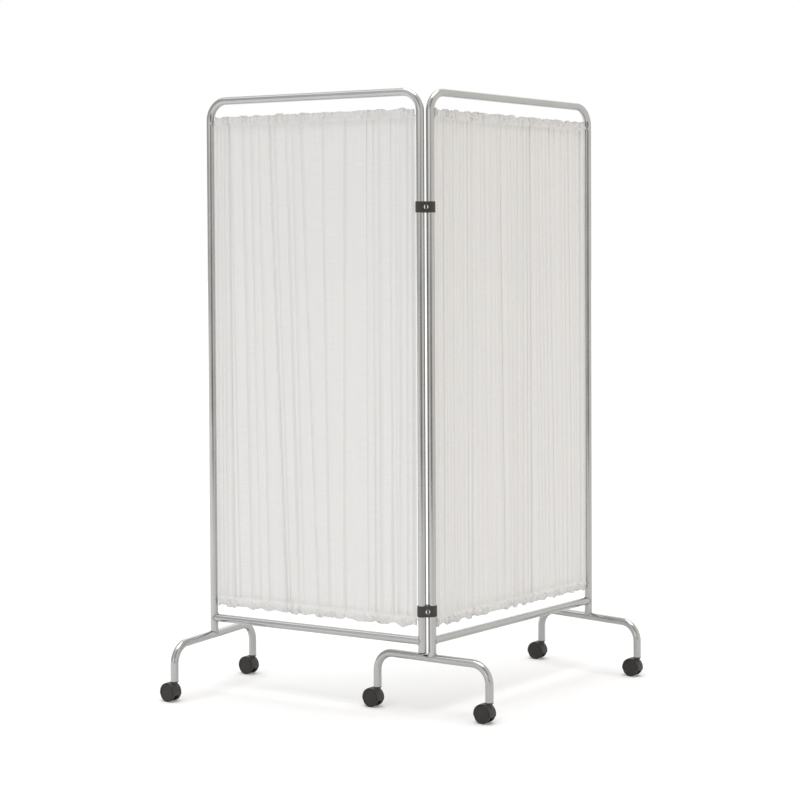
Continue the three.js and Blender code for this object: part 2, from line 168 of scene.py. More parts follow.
castor_names = [name[:-len("_swivel_turn")] for name in joints if name.endswith("_swivel_turn")]
stems = {name: joint_place(name + "_swivel_turn") * Vector((1, 1, 0)) for name in castor_names}
right_inner = joint_place("right_pivot") * Vector((1, 1, 0))
left_inner = joint_place("left_pivot") * Vector((1, 1, 0))
right_outer = (stems["right_back"] + stems["right_front"]) / 2
left_outer = (stems["left_front"] + stems["left_back"]) / 2
foot_ends = {
    "centre": ("centre_left", "centre_right"),
    "right": ("right_back", "right_front"),
    "left": ("left_front", "left_back"),
}
foot_heading = {
    foot: (stems[far] - stems[near]).normalized() for foot, (near, far) in foot_ends.items()
}
panels = {
    "right": ("right_panel", right_inner, right_outer),
    "left": ("left_panel", left_inner, left_outer),
}


def link_new(name, data):
    item = bpy.data.objects.new(name, data)
    bpy.context.scene.collection.objects.link(item)
    return item


# Camera at the photographed viewing angle
camera_place = (-0.668131, -4.918801, 1.251043)
camera_turn = -12.1285
camera_tilt = 88.3589
camera_roll = -0.1495
camera_lens = 78.761
camera_shift = (-0.18, -0.12)
camera_data = bpy.data.cameras.new("camera")
camera_data.sensor_width = 36
camera_data.lens = camera_lens
camera_data.shift_x, camera_data.shift_y = camera_shift
camera = link_new("camera", camera_data)
camera.matrix_world = (
    Matrix.Translation(camera_place)
    @ Matrix.Rotation(math.radians(camera_turn), 4, "Z")
    @ Matrix.Rotation(math.radians(camera_tilt), 4, "X")
    @ Matrix.Rotation(math.radians(camera_roll), 4, "Z")
)
bpy.context.scene.camera = camera


# Node helpers
def add_node(tree, kind, settings=None, values=None):
    node = tree.nodes.new(kind)
    for name, value in (settings or {}).items():
        setattr(node, name, value)
    for name, value in (values or {}).items():
        node.inputs[name].default_value = value
    return node


def place_on(tree, output, stretch=(1, 1, 1)):
    """The piece's own coordinates, or its cloth map's, stretched along each axis."""
    source = add_node(tree, "ShaderNodeTexCoord")
    mapping = add_node(tree, "ShaderNodeMapping", values={"Scale": stretch})
    tree.links.new(source.outputs[output], mapping.inputs["Vector"])
    return mapping.outputs["Vector"]


def noise_on(tree, place, scale, detail=3.0, roughness=0.5):
    texture = add_node(tree, "ShaderNodeTexNoise", values={
        "Scale": scale, "Detail": detail, "Roughness": roughness,
    })
    tree.links.new(place, texture.inputs["Vector"])
    return texture.outputs["Fac"]


def bands_on(tree, place, direction, scale, distortion):
    texture = add_node(
        tree, "ShaderNodeTexWave",
        {"wave_type": "BANDS", "bands_direction": direction},
        {"Scale": scale, "Distortion": distortion, "Detail": 2.0},
    )
    tree.links.new(place, texture.inputs["Vector"])
    return texture.outputs["Fac"]


def spread(tree, value, low, high, start=0.3, end=0.7):
    node = add_node(tree, "ShaderNodeMapRange", values={
        "From Min": start, "From Max": end, "To Min": low, "To Max": high,
    })
    tree.links.new(value, node.inputs["Value"])
    return node.outputs["Result"]


def combine(tree, operation, first, second):
    node = add_node(tree, "ShaderNodeMath", {"operation": operation})
    for socket, value in zip(node.inputs, (first, second)):
        if isinstance(value, (int, float)):
            socket.default_value = value
        else:
            tree.links.new(value, socket)
    return node.outputs["Value"]


def two_tone(tree, share, dark, light):
    node = add_node(tree, "ShaderNodeMix", {"data_type": "RGBA"})
    node.inputs[6].default_value = (*dark, 1)
    node.inputs[7].default_value = (*light, 1)
    tree.links.new(share, node.inputs["Factor"])
    return node.outputs[2]


def relief(tree, bsdf, height, strength, distance):
    node = add_node(tree, "ShaderNodeBump", values={"Strength": strength, "Distance": distance})
    tree.links.new(height, node.inputs["Height"])
    tree.links.new(node.outputs["Normal"], bsdf.inputs["Normal"])


def finish_of(name, values=None):
    """A new finish, its nodes and its shader, with the values that are even all over it."""
    material = bpy.data.materials.new(name)
    material.use_nodes = True
    bsdf = material.node_tree.nodes["Principled BSDF"]
    for socket, value in (values or {}).items():
        bsdf.inputs[socket].default_value = value
    return material, material.node_tree, bsdf


def vary(tree, bsdf, value, dark, light, smooth, rough):
    """Lets the tone and the roughness follow a value."""
    tone = two_tone(tree, spread(tree, value, 0, 1), dark, light)
    tree.links.new(tone, bsdf.inputs["Base Color"])
    tree.links.new(spread(tree, value, smooth, rough), bsdf.inputs["Roughness"])


# Finishes
def chromed_tube_finish():
    material, tree, bsdf = finish_of("chrome_plate", {"Metallic": 1.0})
    cloudy = noise_on(tree, place_on(tree, "Object"), 9.0, 4.0)
    fine = noise_on(tree, place_on(tree, "Object", (1, 1, 0.12)), 900.0, 2.0)
    tone = two_tone(tree, spread(tree, cloudy, 0, 1), (0.45, 0.45, 0.445), (0.49, 0.49, 0.485))
    tree.links.new(tone, bsdf.inputs["Base Color"])
    haze = combine(tree, "ADD", spread(tree, cloudy, 0.13, 0.19), spread(tree, fine, 0, 0.03))
    tree.links.new(haze, bsdf.inputs["Roughness"])
    relief(tree, bsdf, fine, 0.05, 0.0002)
    return material


def weld_finish():
    material, tree, bsdf = finish_of("chromed_weld", {"Metallic": 1.0})
    lumps = noise_on(tree, place_on(tree, "Object"), 420.0, 3.0)
    vary(tree, bsdf, lumps, (0.36, 0.355, 0.345), (0.5, 0.5, 0.49), 0.22, 0.36)
    relief(tree, bsdf, lumps, 0.5, 0.0006)
    return material


def plastic_finish(name, dark, light, rough, grain):
    material, tree, bsdf = finish_of(name)
    cloudy = noise_on(tree, place_on(tree, "Object"), 60.0, 5.0)
    pebbles = noise_on(tree, place_on(tree, "Object"), grain, 2.0)
    vary(tree, bsdf, cloudy, dark, light, rough - 0.06, rough + 0.08)
    relief(tree, bsdf, pebbles, 0.25, 0.00012)
    return material


def zinc_finish(name, dark, light, rough):
    material, tree, bsdf = finish_of(name, {"Metallic": 1.0})
    turning = noise_on(tree, place_on(tree, "Object", (1, 1, 9)), 500.0, 3.0)
    vary(tree, bsdf, turning, dark, light, rough - 0.05, rough + 0.07)
    relief(tree, bsdf, turning, 0.08, 0.0001)
    return material


def voile_finish(name, dark, light):
    """Fine sheer cloth: threads, slubs along the weft and faint streaks along the warp."""
    material, tree, bsdf = finish_of(name, {
        "Roughness": 0.9, "Specular IOR Level": 0.15, "Sheen Weight": 0.12, "Sheen Roughness": 0.6,
        "Alpha": 0.94,
    })
    flat = place_on(tree, "UV")
    weft = bands_on(tree, flat, "Y", 330.0, 0.6)
    warp = bands_on(tree, flat, "X", 390.0, 0.6)
    slub = noise_on(tree, place_on(tree, "UV", (0.03, 1, 1)), 620.0, 4.0, 0.6)
    streak = noise_on(tree, place_on(tree, "UV", (1, 0.006, 1)), 420.0, 3.0, 0.6)
    threads = combine(tree, "MULTIPLY", weft, warp)
    thickness = combine(tree, "ADD", combine(tree, "MULTIPLY", slub, 0.6),
                        combine(tree, "MULTIPLY", streak, 0.4))
    tone = two_tone(tree, spread(tree, thickness, 0, 1, 0.38, 0.62), dark, light)
    tree.links.new(tone, bsdf.inputs["Base Color"])
    height = combine(tree, "ADD", combine(tree, "MULTIPLY", threads, 0.5), thickness)
    relief(tree, bsdf, height, 0.22, 0.0003)
    return material


chrome = chromed_tube_finish()
weld = weld_finish()
black_plastic = plastic_finish(
    "black_nylon", (0.031, 0.026, 0.023), (0.042, 0.036, 0.032), 0.46, 1600.0)
wheel_plastic = plastic_finish(
    "wheel_nylon", (0.017, 0.0138, 0.0122), (0.027, 0.0225, 0.020), 0.5, 1200.0)
zinc = zinc_finish("dull_zinc", (0.10, 0.097, 0.09), (0.15, 0.146, 0.138), 0.42)
bright = zinc_finish("bright_plate", (0.66, 0.66, 0.65), (0.74, 0.74, 0.73), 0.16)
voile = voile_finish("sheer_cloth", (0.858, 0.854, 0.846), (0.918, 0.913, 0.905))
wire_cover = plastic_finish("wire_sleeve", (0.7, 0.7, 0.68), (0.78, 0.78, 0.76), 0.42, 900.0)

slot_finish = {
    "chromed_tube": chrome, "black_plastic": black_plastic, "castor_wheel": wheel_plastic,
    "zinc_steel": zinc, "bright_bolt": bright, "voile": voile, "wire_cover": wire_cover,
}
for subpart in frame["record"]["subparts"]:
    node_object = bpy.data.objects[subpart["node"]]
    node_object.data.materials.clear()
    node_object.data.materials.append(slot_finish[subpart["material_slot"]])


# Shape helpers
def of_kind(made, kind):
    return [item for item in made if isinstance(item, kind)]


def verts_of(edges):
    return list({vert for edge in edges for vert in edge.verts})


def edges_of(verts):
    return list({edge for vert in verts for edge in vert.link_edges})


def face_outwards(bm):
    bmesh.ops.recalc_face_normals(bm, faces=bm.faces)


def turn_to(heading):
    return Vector(heading).to_track_quat("Z", "Y").to_matrix().to_4x4()


tip_forward = Matrix.Rotation(math.pi / 2, 4, "X")
tip_back = Matrix.Rotation(-math.pi / 2, 4, "X")


def ring(bm, centre, heading, radius, sides):
    made = bmesh.ops.create_circle(
        bm, radius=radius, segments=sides, matrix=Matrix.Translation(centre) @ turn_to(heading))
    return edges_of(made["verts"])


def push(bm, edges, run):
    made = bmesh.ops.extrude_edge_only(bm, edges=edges)["geom"]
    bmesh.ops.translate(bm, verts=of_kind(made, bmesh.types.BMVert), vec=run)
    return of_kind(made, bmesh.types.BMEdge)


def swing(bm, edges, centre, axis, angle, steps):
    """Swings edges about an axis by the right-hand rule, leaving a bend behind them."""
    made = bmesh.ops.spin(
        bm, geom=edges, cent=centre, axis=axis, angle=angle, steps=steps)["geom_last"]
    return of_kind(made, bmesh.types.BMEdge)


def bent_rod(corners, bend, radius, sides, steps):
    """An open tube through the corners, with its first and last rings."""
    bm = bmesh.new()
    headings = [(after - before).normalized() for before, after in zip(corners, corners[1:])]
    edges = ring(bm, corners[0], headings[0], radius, sides)
    first = verts_of(edges)
    reached = corners[0]
    for corner, before, after in zip(corners[1:-1], headings, headings[1:]):
        turn = before.angle(after)
        setback = bend * math.tan(turn / 2)
        start = corner - before * setback
        inward = (after - before * before.dot(after)).normalized()
        edges = push(bm, edges, start - reached)
        axis = before.cross(after).normalized()
        edges = swing(bm, edges, start + inward * bend, axis, turn, steps)
        reached = corner + after * setback
    edges = push(bm, edges, corners[-1] - reached)
    face_outwards(bm)
    return bm, first, verts_of(edges)


def saddle(verts, centre, crossed, leaving):
    """Moves a tube's end onto the round tube that crosses it at the centre."""
    for vert in verts:
        offset = vert.co - centre
        across = offset - crossed * offset.dot(crossed) - leaving * offset.dot(leaving)
        rise = math.sqrt(max(tube_radius ** 2 - across.length_squared, 0))
        vert.co += leaving * (rise - offset.dot(leaving))


def sharp_edges(bm, least_angle):
    return [
        edge for edge in bm.edges
        if edge.is_manifold and edge.calc_face_angle(0) > math.radians(least_angle)
    ]


def soften(bm, edges, width, segments):
    bmesh.ops.bevel(
        bm, geom=edges, offset=width, segments=segments, affect="EDGES", profile=0.5,
        material=-1, clamp_overlap=True)


def turned(profile, steps):
    """A piece turned about the Z axis from radius and height pairs."""
    bm = bmesh.new()
    verts = [bm.verts.new((radius, 0, height)) for radius, height in profile]
    edges = [bm.edges.new(pair) for pair in zip(verts, verts[1:])]
    bmesh.ops.spin(
        bm, geom=verts + edges, cent=(0, 0, 0), axis=(0, 0, 1), angle=2 * math.pi,
        steps=steps, use_merge=True)
    bmesh.ops.remove_doubles(bm, verts=bm.verts, dist=1e-6)
    face_outwards(bm)
    return bm


def thicken(bm, run):
    """Pulls flat faces out into a solid."""
    grown = bmesh.ops.extrude_face_region(bm, geom=bm.faces[:])["geom"]
    bmesh.ops.translate(bm, verts=of_kind(grown, bmesh.types.BMVert), vec=run)


def slice_off(bm, place, outwards):
    """Takes off what lies outside a plane and closes the cut."""
    cut = bmesh.ops.bisect_plane(
        bm, geom=bm.verts[:] + bm.edges[:] + bm.faces[:], plane_co=place, plane_no=outwards,
        clear_outer=True)["geom_cut"]
    bmesh.ops.contextual_create(bm, geom=of_kind(cut, bmesh.types.BMEdge))


def moved(bm, matrix):
    bmesh.ops.transform(bm, matrix=matrix, verts=bm.verts)
    return bm


def make_piece(name, bm, body, slot, nodes=(), finish=None, sharp=35):
    mesh = bpy.data.meshes.new(name)
    bm.to_mesh(mesh)
    bm.free()
    mesh.shade_smooth()
    mesh.set_sharp_from_angle(angle=math.radians(sharp))
    mesh.materials.append(finish or slot_finish[slot])
    piece = link_new(name, mesh)
    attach(piece, body)
    if nodes:
        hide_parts(*nodes)
    return piece


def hollow(bm):
    """Gives an open tube its wall, inwards from its outer face."""
    bmesh.ops.solidify(bm, geom=bm.faces[:], thickness=tube_wall)
    return bm


def carved(bm, cutter):
    """The solid less a cutter, worked out once with a boolean."""
    objects = []
    for label, solid in (("blank", bm), ("cutter", cutter)):
        mesh = bpy.data.meshes.new(label)
        solid.to_mesh(mesh)
        solid.free()
        objects.append(link_new(label, mesh))
    blank, tool = objects
    cut = blank.modifiers.new("cut", "BOOLEAN")
    cut.operation = "DIFFERENCE"
    cut.solver = "EXACT"
    cut.object = tool
    shaped = blank.evaluated_get(bpy.context.evaluated_depsgraph_get())
    result = bmesh.new()
    result.from_mesh(shaped.to_mesh())
    shaped.to_mesh_clear()
    for item in objects:
        mesh = item.data
        bpy.data.objects.remove(item)
        bpy.data.meshes.remove(mesh)
    return result


# Panel frames, bottom rails and feet
def at_height(place, height):
    return Vector((place.x, place.y, height))


def frame_tube(name, body, inner, outer, inner_end, foot=None):
    corners = [
        at_height(inner, inner_end), at_height(inner, top_rail_height),
        at_height(outer, top_rail_height), at_height(outer, foot_height),
    ]
    bm, first, last = bent_rod(corners, frame_bend, tube_radius, tube_sides, bend_steps)
    if foot:
        saddle(first, at_height(inner, foot_height), foot_heading[foot], up)
    saddle(last, at_height(outer, foot_height), foot_heading[name], up)
    make_piece(name + "_frame_tube", hollow(bm), body, "chromed_tube", [name + "_frame"])


def rail_tube(name, body, inner, outer):
    ends = [at_height(inner, rail_height), at_height(outer, rail_height)]
    heading = (ends[1] - ends[0]).normalized()
    bm, first, last = bent_rod(ends, frame_bend, tube_radius, tube_sides, bend_steps)
    saddle(first, ends[0], up, heading)
    saddle(last, ends[1], up, -heading)
    make_piece(name + "_rail_tube", hollow(bm), body, "chromed_tube", [name + "_bottom_rail"])


def foot_tube(name, body):
    near, far = (stems[end] for end in foot_ends[name])
    corners = [
        at_height(near, leg_end), at_height(near, foot_height),
        at_height(far, foot_height), at_height(far, leg_end),
    ]
    bm, _, _ = bent_rod(corners, foot_bend, tube_radius, tube_sides, bend_steps)
    make_piece(name + "_foot_tube", hollow(bm), body, "chromed_tube", [name + "_foot"])


def weld_bead(name, body, centre, crossed, leaving):
    """A rippled bead where a tube leaves the one that crosses it."""
    bm = bmesh.new()
    reach = tube_radius + bead_radius / 4
    section = Matrix.Translation((reach, 0, 0)) @ tip_forward
    made = bmesh.ops.create_circle(bm, radius=bead_radius, segments=bead_sides, matrix=section)
    bmesh.ops.spin(
        bm, geom=edges_of(made["verts"]), cent=(0, 0, 0), axis=(0, 0, 1), angle=2 * math.pi,
        steps=bead_steps, use_merge=True)
    for vert in bm.verts:
        angle = math.atan2(vert.co.y, vert.co.x)
        ripple = 1 + bead_ripple_share * math.sin(bead_ripples * angle)
        wander = bead_wander_turns * angle + bead_wander_shift * centre.x
        ripple += bead_wander_share * math.sin(wander)
        centre_line = Vector((math.cos(angle), math.sin(angle), 0)) * reach
        vert.co = centre_line + (vert.co - centre_line) * ripple
        vert.co.z += math.hypot(tube_radius * math.cos(angle), bead_soften)
    face_outwards(bm)
    side = leaving.cross(crossed)
    turn = Matrix((crossed, side, leaving)).transposed().to_4x4()
    moved(bm, Matrix.Translation(centre) @ turn)
    make_piece(name, bm, body, "chromed_tube", finish=weld)


frame_tube("right", "right_panel", right_inner, right_outer, foot_height, "centre")
frame_tube("left", "left_panel", left_inner, left_outer, hanging_end)
for side, (body, inner, outer) in panels.items():
    rail_tube(side, body, inner, outer)
    along = (outer - inner).normalized()
    weld_bead(side + "_rail_inner_weld", body, at_height(inner, rail_height), up, along)
    weld_bead(side + "_rail_outer_weld", body, at_height(outer, rail_height), up, -along)
    weld_bead(side + "_foot_weld", body, at_height(outer, foot_height), foot_heading[side], up)
weld_bead(
    "centre_foot_weld", "right_panel", at_height(right_inner, foot_height), foot_heading["centre"], up)
foot_tube("centre", "right_panel")
foot_tube("right", "right_panel")
foot_tube("left", "left_panel")

# Turned pieces are given from the axis outwards and back to it, as radius and height pairs
plug_profile = [
    (0, 0.1699), (0.0065, 0.17), (0.0092, 0.1703), (0.0104, 0.1711), (0.0107, 0.1722),
    (0.0107, 0.1731), (0.0104, 0.1734), (0.0095, 0.1734), (0.0095, 0.189), (0, 0.189),
]
make_piece(
    "left_end_cap", moved(turned(plug_profile, cap_sides), Matrix.Translation(left_inner)),
    "left_panel", "black_plastic", ["left_end_plug"])


# Curtain wires and the screws that close them
def curtain_wire(name, node, body, inner, outer, height):
    along = (outer - inner).normalized()
    near, far = inner + along * wire_inset, outer - along * wire_inset
    corners = [
        at_height(near, height - wire_hook), at_height(near, height),
        at_height(far, height), at_height(far, height - wire_hook),
    ]
    bm, first, last = bent_rod(corners, wire_inset, wire_radius, wire_sides, wire_bend_steps)
    bmesh.ops.contextual_create(bm, geom=first)
    bmesh.ops.contextual_create(bm, geom=last)
    face_outwards(bm)
    make_piece(name, bm, body, "wire_cover", [node])


screw_profile = [
    (0, -0.0012), (0.0008, -0.0011), (0.0012, -0.0003), (0.0019, 0.0009), (0.0027, 0.0004),
    (0.0032, -0.0004), (0.0033, -0.0014), (0.0018, -0.0016), (0.0016, -0.006), (0, -0.006),
]


def wire_screw(name, body, upright, height, azimuth):
    outward = Vector((math.cos(math.radians(azimuth)), math.sin(math.radians(azimuth)), 0))
    place = at_height(upright, height) + outward * (tube_radius + wire_screw_lift)
    screw = turned(screw_profile, wire_screw_sides)
    moved(screw, Matrix.Translation(place) @ turn_to(outward))
    make_piece(name, screw, body, "bright_bolt")


for side, (body, inner, outer) in panels.items():
    for level, height in (("top", top_wire_height), ("bottom", bottom_wire_height)):
        wire = f"{side}_{level}_wire"
        curtain_wire(f"{side}_{level}_spring_wire", wire, body, inner, outer, height)
        wire_screw(f"{side}_{level}_wire_screw", body, outer, height, wire_screw_azimuth[side])


# Curtains
# Each fold: share of the width from the hinge at the top and at the bottom, its depth at the top
# and at the bottom in millimetres, and the side it leans to
left_fold_shares = [
    (0.013, 0.013, 5, 5, 1), (0.0393, 0.0444, 5, 1, -1), (0.0695, 0.0788, 2.5, 5.5, 1),
    (0.0881, 0.09, 4.5, 1, 1), (0.1171, 0.1171, 1, 7.5, -1), (0.1679, 0.1679, 8, 8, 1),
    (0.1991, 0.1991, 1.5, 4, -1), (0.2294, 0.2294, 1, 4, 1), (0.3363, 0.3493, 8, 8, -1),
    (0.4427, 0.4221, 6.5, 8, 1), (0.5521, 0.476, 8.5, 4.5, -1), (0.5949, 0.5472, 8, 4, 1),
    (0.627, 0.575, 7, 8, -1), (0.6854, 0.6149, 4, 4, 1), (0.7158, 0.64, 6, 7, -1),
    (0.7667, 0.7208, 4, 7.5, 1), (0.8076, 0.7718, 5.5, 2.5, -1), (0.8488, 0.8128, 8.5, 8.5, 1),
    (0.911, 0.8747, 6, 2, 1), (0.9266, 0.911, 7, 8, -1), (0.9423, 0.9423, 6.5, 6, 1),
    (0.964, 0.964, 2.5, 2.5, -1), (0.9842, 0.9842, 3, 6, 1),
]
right_fold_shares = [
    (0.0208, 0.0208, 4.5, 4.5, 1), (0.039, 0.04, 2, 2.5, -1), (0.0597, 0.0597, 7, 7, -1),
    (0.076, 0.076, 2, 2, 1), (0.0929, 0.0929, 3.5, 3.5, 1), (0.114, 0.114, 2, 2, -1),
    (0.1355, 0.1355, 3, 3, 1), (0.156, 0.155, 2, 2, -1), (0.1748, 0.1748, 4, 4, 1),
    (0.203, 0.203, 2.5, 2, -1), (0.2307, 0.2307, 6.5, 6.5, -1), (0.2532, 0.2658, 2.5, 3, 1),
    (0.283, 0.295, 2.5, 2, 1), (0.31, 0.3291, 4, 4, -1), (0.3483, 0.3483, 2.5, 3, 1),
    (0.366, 0.386, 2, 2, -1), (0.3869, 0.4258, 4.5, 4, 1), (0.4128, 0.4424, 4, 4, -1),
    (0.452, 0.4783, 4, 4, 1), (0.48, 0.501, 2, 2.5, -1), (0.502, 0.513, 2, 2, 1),
    (0.5246, 0.5246, 3, 3, -1), (0.545, 0.545, 2, 2, 1), (0.5647, 0.5647, 3.5, 3.5, 1),
    (0.588, 0.592, 2, 2, -1), (0.6119, 0.6187, 5, 5, -1), (0.6459, 0.6733, 3.5, 4, 1),
    (0.666, 0.694, 2, 2, -1), (0.6871, 0.7147, 3.5, 3, 1), (0.714, 0.746, 2.5, 2, -1),
    (0.7425, 0.7817, 4.5, 4.5, -1), (0.776, 0.807, 2, 2.5, 1), (0.8197, 0.841, 4.5, 4.5, 1),
    (0.848, 0.87, 2, 2, -1), (0.8767, 0.9054, 4, 4, -1), (0.9, 0.92, 2, 2, 1),
    (0.9235, 0.9335, 4, 4, 1), (0.946, 0.95, 2.5, 2, -1), (0.9634, 0.9664, 6, 3, -1),
    (0.987, 0.987, 5, 5, 1),
]
# One fold seen from above: its front layer, the layer folded back under it and the one behind.
# Shares of the fold's depth along the cloth, then millimetres along it, then layer gaps outwards
fold_section = [
    (-0.5, -1.2, 0.0), (-0.34, 0.0, 0.7), (-0.05, 0.0, 1.5), (0.28, 0.0, 1.9), (0.5, -0.35, 1.8),
    (0.5, 0.0, 1.15), (0.5, -0.35, 0.5), (0.2, 0.0, 0.2), (-0.2, 0.0, -0.2), (-0.5, 0.35, -0.5),
    (-0.5, 0.0, -1.15), (-0.5, 0.35, -1.8), (-0.2, 0.0, -1.9), (0.2, 0.0, -1.6), (0.5, 0.2, -0.9),
    (0.5, 1.6, 0.0),
]
mirrored_section = [(-share, -length, layers) for share, length, layers in reversed(fold_section)]
full_layer_depth = 3.5
fold_margin = 0.0012
column_step = 0.00165

# The cloth's run at a pocket, from its hem behind the wire, over the wire and down the front: rise
# above the wire, distance in front of it and how far the pocket puffs out there
pocket_back = [
    (-0.0058, -0.0011, 0.15), (-0.0036, -0.0025, 0.5), (-0.0010, -0.0036, 0.8), (0.0020, -0.0042, 1),
    (0.0052, -0.0044, 1), (0.0084, -0.0042, 1), (0.0115, -0.0036, 1), (0.0143, -0.0028, 1),
    (0.0165, -0.0018, 1), (0.0177, -0.0009, 1),
]
pocket_front = [(rise, -stand, puff) for rise, stand, puff in reversed(pocket_back)]
pocket_run = [
    (-0.0200, -0.0013, 0), (-0.0150, -0.0013, 0), (-0.0100, -0.0012, 0), (-0.0072, -0.0009, 0),
    *pocket_back, (0.0181, 0.0, 1), *pocket_front,
    (-0.0072, 0.0006, 0), (-0.0100, 0.0005, 0), (-0.0150, 0.0003, 0), (-0.0200, 0.0002, 0),
]
hanging_rows = 28
hanging_stand = 0.0002
row_ease = 0.05
pocket_rows = 41
hem_depth = 0.0225
even_reach = 14
near_wire_start = 0.01
near_wire_fade = 0.075
hem_behind = -0.0005
hem_fold_share = 0.3
least_patch_share = 0.35
middling_share = 0.4
pocket_calm_share = 0.6
sag_roundness = 0.7

# The puffs of the pockets, which flatten at the cloth's ends, and their two sizes
puff_spacing = 0.021
puff_size_shares = ((0.62, 1), (0.38, 0.53))
puff_slant = 0.25
puff_unevenness = 0.8
puff_roundness = 0.6
puff_swell = 1.1
puff_slack = 0.5
end_taper = 0.02
end_stand_share = 0.4
end_roundness = 0.6

# Their creases, slanted by at most so many degrees, and the rises where edges and stitches waver
crease_slant = 80
crease_bend = 0.5
crease_bend_length = 0.06
crease_sharpness = 0.85
crease_middle = 0.68
back_crease_shift = 40
edge_start = 0.002
edge_fade = 0.016
stitch_drop = 0.007
stitch_reach = 0.004

# Waves across the cloth: how many, then the longest and the shortest in metres
sag_waves = (7, 0.2, 0.06)
middling_waves = (9, 0.045, 0.02)
gather_waves = (16, 0.015, 0.006)
hanging_waves = (14, 0.020, 0.0085)
patch_waves = (5, 0.22, 0.06)
sway_waves = (6, 0.11, 0.05)
hem_waves = (7, 0.12, 0.03)
stitch_waves = (8, 0.1, 0.02)
pucker_waves = (10, 0.03, 0.011)
slant_waves = (5, 0.15, 0.03)
uneven_waves = (6, 0.14, 0.03)
crumple_creases = (12, 0.026, 0.009)
lift_creases = (8, 0.026, 0.011)

# How far they move the cloth, in metres
middling_depth = 0.00045
gather_depth = 0.0005
crumple_depth = 0.0032
crumple_lift = 0.0010
hem_wave_depth = 0.0011
stitch_wave_depth = 0.0008
pucker_depth = 0.0011
top_lobe, bottom_lobe = 0.0060, 0.0085
top_sway, bottom_sway = 0.0012, 0.0022


def waves(place, seed, count, slowest, fastest):
    """A sum of sines between two wavelengths, about -1 to 1."""
    draw = np.random.RandomState(seed)
    total = np.zeros_like(place)
    for _ in range(count):
        length = slowest * (fastest / slowest) ** draw.rand()
        total += math.sqrt(1.6 / count) * np.sin(2 * math.pi * (place / length + draw.rand()))
    return total


def puffs(place, rise, seed):
    """Rounded puffs from 0 to 1 between sharp creases, which slant a little with the rise."""
    draw = np.random.RandomState(seed)
    total = 0
    for share, spacing_share in puff_size_shares:
        length = puff_spacing * spacing_share
        slant = puff_slant * waves(place, draw.randint(999), *slant_waves)
        uneven = puff_unevenness * waves(place, draw.randint(999), *uneven_waves)
        phase = place / length + uneven + slant * rise / length
        total = total + share * np.abs(np.sin(math.pi * phase)) ** puff_roundness
    return total


def crumples(place, rise, seed, count, longest, shortest):
    """Creases that cross at all slants, about -1 to 1, sharp in their valleys."""
    draw = np.random.RandomState(seed)
    total = 0
    for _ in range(count):
        length = longest * (shortest / longest) ** draw.rand()
        slant = math.radians(draw.uniform(-crease_slant, crease_slant))
        phase = (place * math.cos(slant) + rise * math.sin(slant)) / length
        bend = np.sin(2 * math.pi * (place / crease_bend_length + draw.rand()))
        phase = phase + crease_bend * bend + draw.rand()
        crease = np.abs(np.sin(math.pi * phase)) ** crease_sharpness - crease_middle
        total = total + math.sqrt(3 / count) * crease
    return total


def cross_section(folds, width, counts, lowered):
    """Places across the panel and distances outwards of the cloth's columns."""
    along, outward = [], []
    reached = 0.0
    for fold, columns in zip(list(folds) + [None], counts):
        depth = fold[3 if lowered else 2] / 1000 if fold else 0
        at = fold[1 if lowered else 0] * width if fold else width
        start = at - depth / 2 - fold_margin if fold else width
        for k in range(columns):
            along.append(reached + (start - reached) * k / columns)
            outward.append(0.0)
        if not fold:
            break
        thickness = layer_gap * min(1, depth * 1000 / full_layer_depth)
        for by_depth, by_length, layers in fold_section if fold[4] > 0 else mirrored_section:
            along.append(at + by_depth * depth + by_length / 1000)
            outward.append(layers * thickness)
        reached = along[-1]
    return np.array(along + [width]), np.array(outward + [0.0])


def gap_columns(folds, width):
    """How many columns of the cloth lie before each fold and after the last."""
    edges = [0.0]
    for share, _, depth, _, _ in folds:
        half = depth / 2000 + fold_margin
        edges += [share * width - half, share * width + half]
    edges.append(width)
    gaps = zip(edges[::2], edges[1::2])
    return [max(3, round((end - start) / column_step)) for start, end in gaps]


def cloth_rows():
    """The cloth's rows from top to bottom: height, distance in front of the wires, puff, and end.

    The end is 1 in the top pocket, -1 in the bottom one and 0 between them.
    """
    finer = np.linspace(0, len(pocket_run) - 1, pocket_rows)
    pocket = list(zip(*[
        np.interp(finer, range(len(pocket_run)), values) for values in zip(*pocket_run)
    ]))
    hang_top, hang_bottom = top_wire_height - hem_depth, bottom_wire_height + hem_depth
    down = np.linspace(0, 1, hanging_rows + 2)[1:-1]
    eased = down - row_ease * np.sin(2 * math.pi * down)
    rows = [(top_wire_height + rise, stand, puff, 1) for rise, stand, puff in pocket]
    rows += [(hang_top + (hang_bottom - hang_top) * step, hanging_stand, 0, 0) for step in eased]
    rows += [(bottom_wire_height - rise, stand, puff, -1) for rise, stand, puff in reversed(pocket)]
    return [np.array(values)[:, None] for values in zip(*rows)]


def hang_folds(folds, width, rows):
    """Lays the folds between the wires: places across, distances out and places on the flat cloth."""
    height, stand, puff, _ = rows
    counts = gap_columns(folds, width)
    top_along, top_out = cross_section(folds, width, counts, False)
    low_along, low_out = cross_section(folds, width, counts, True)
    lowered = np.clip((top_wire_height - height) / (top_wire_height - bottom_wire_height), 0, 1)
    along = top_along * (1 - lowered) + low_along * lowered
    out = top_out * (1 - lowered) + low_out * lowered
    behind = (stand < hem_behind) & (puff == 0)
    out = out * np.where(behind, hem_fold_share, 1 - puff)
    evener = np.ones(2 * even_reach + 1) / (2 * even_reach + 1)
    even = np.array([np.convolve(np.pad(row, even_reach, "edge"), evener, "valid") for row in along])
    along = along + (even - along) * puff
    flat_place = np.concatenate([[0], np.cumsum(np.hypot(
        np.diff((top_along + low_along) / 2), np.diff((top_out + low_out) / 2)))])
    return along, out, flat_place, lowered


